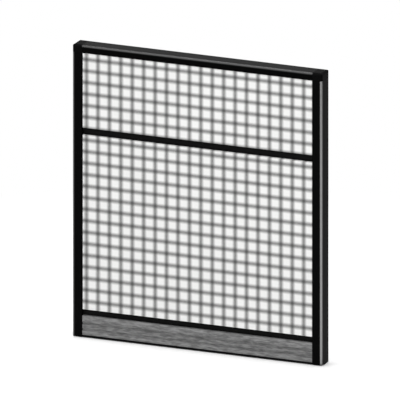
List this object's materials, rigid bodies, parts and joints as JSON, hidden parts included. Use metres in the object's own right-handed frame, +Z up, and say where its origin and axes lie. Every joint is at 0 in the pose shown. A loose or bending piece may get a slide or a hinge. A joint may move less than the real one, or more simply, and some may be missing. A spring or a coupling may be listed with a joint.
{
  "type": "fabric office partition",
  "caption": "Free-standing office partition: steel frame with black clip-on trims, split fabric tiles, a base raceway with drop-down covers, and levelling glides.",
  "frame": {"origin": "centre of the bounding box on the floor", "axes": "+Z up, +X along the panel towards its right-hand end, -Y towards the viewer, who faces the front tiles"},
  "size_m": [1.224, 0.084, 1.372],
  "materials": {
    "frame_steel": "satin",
    "trim_black": "satin",
    "cap_plastic": "matte",
    "tile_fabric": "matte",
    "core_board": "matte",
    "bright_steel": "satin",
    "cover_grey": "satin",
    "pad_plastic": "matte"
  },
  "bodies": {
    "frame": {"left_upright": "frame_steel", "right_upright": "frame_steel", "top_rail": "frame_steel", "middle_rail": "frame_steel", "base_rail": "frame_steel", "left_leg": "frame_steel", "right_leg": "frame_steel", "left_end_trim": "trim_black", "right_end_trim": "trim_black", "top_cap": "trim_black", "left_corner_cap": "cap_plastic", "right_corner_cap": "cap_plastic", "front_upper_fabric": "tile_fabric", "front_upper_core": "core_board", "front_upper_pan": "bright_steel", "front_upper_clips": "bright_steel", "front_lower_fabric": "tile_fabric", "front_lower_core": "core_board", "front_lower_pan": "bright_steel", "front_lower_clips": "bright_steel", "rear_upper_fabric": "tile_fabric", "rear_upper_core": "core_board", "rear_upper_pan": "bright_steel", "rear_upper_clips": "bright_steel", "rear_lower_fabric": "tile_fabric", "rear_lower_core": "core_board", "rear_lower_pan": "bright_steel", "rear_lower_clips": "bright_steel", "raceway_brackets": "bright_steel", "bracket_screws": "bright_steel", "base_channel": "frame_steel", "front_cable_tray": "bright_steel", "rear_cable_tray": "bright_steel", "left_foot_plate": "frame_steel", "right_foot_plate": "frame_steel", "left_glide_insert": "bright_steel", "right_glide_insert": "bright_steel"},
    "front_cover": {"front_raceway_cover": "cover_grey"},
    "rear_cover": {"rear_raceway_cover": "cover_grey"},
    "left_pad": {"left_glide_pad": "pad_plastic"},
    "left_stem": {"left_glide_stem": "bright_steel"},
    "right_pad": {"right_glide_pad": "pad_plastic"},
    "right_stem": {"right_glide_stem": "bright_steel"}
  },
  "joints": [
    {"name": "front_cover_hinge", "type": "hinge", "parent": "frame", "child": "front_cover", "pos_m": [0, -0.032, 0.018], "axis": [1, 0, 0], "range_deg": [0, 90]},
    {"name": "rear_cover_hinge", "type": "hinge", "parent": "frame", "child": "rear_cover", "pos_m": [0, 0.032, 0.018], "axis": [-1, 0, 0], "range_deg": [0, 90]},
    {"name": "left_pad_slide", "type": "slide", "parent": "frame", "child": "left_pad", "axis": [0, 0, -1], "range_m": [0, 0.02]},
    {"name": "left_stem_spin", "type": "hinge", "parent": "left_pad", "child": "left_stem", "pos_m": [-0.5775, 0, 0.012], "axis": [0, 0, -1], "range_deg": [0, 4800]},
    {"name": "right_pad_slide", "type": "slide", "parent": "frame", "child": "right_pad", "axis": [0, 0, -1], "range_m": [0, 0.02]},
    {"name": "right_stem_spin", "type": "hinge", "parent": "right_pad", "child": "right_stem", "pos_m": [0.5775, 0, 0.012], "axis": [0, 0, -1], "range_deg": [0, 4800]}
  ],
  "couplings": [
    {"joint": "left_stem_spin", "follows": "left_pad_slide", "rad_per_m": 4188.8},
    {"joint": "right_stem_spin", "follows": "right_pad_slide", "rad_per_m": 4188.8}
  ]
}
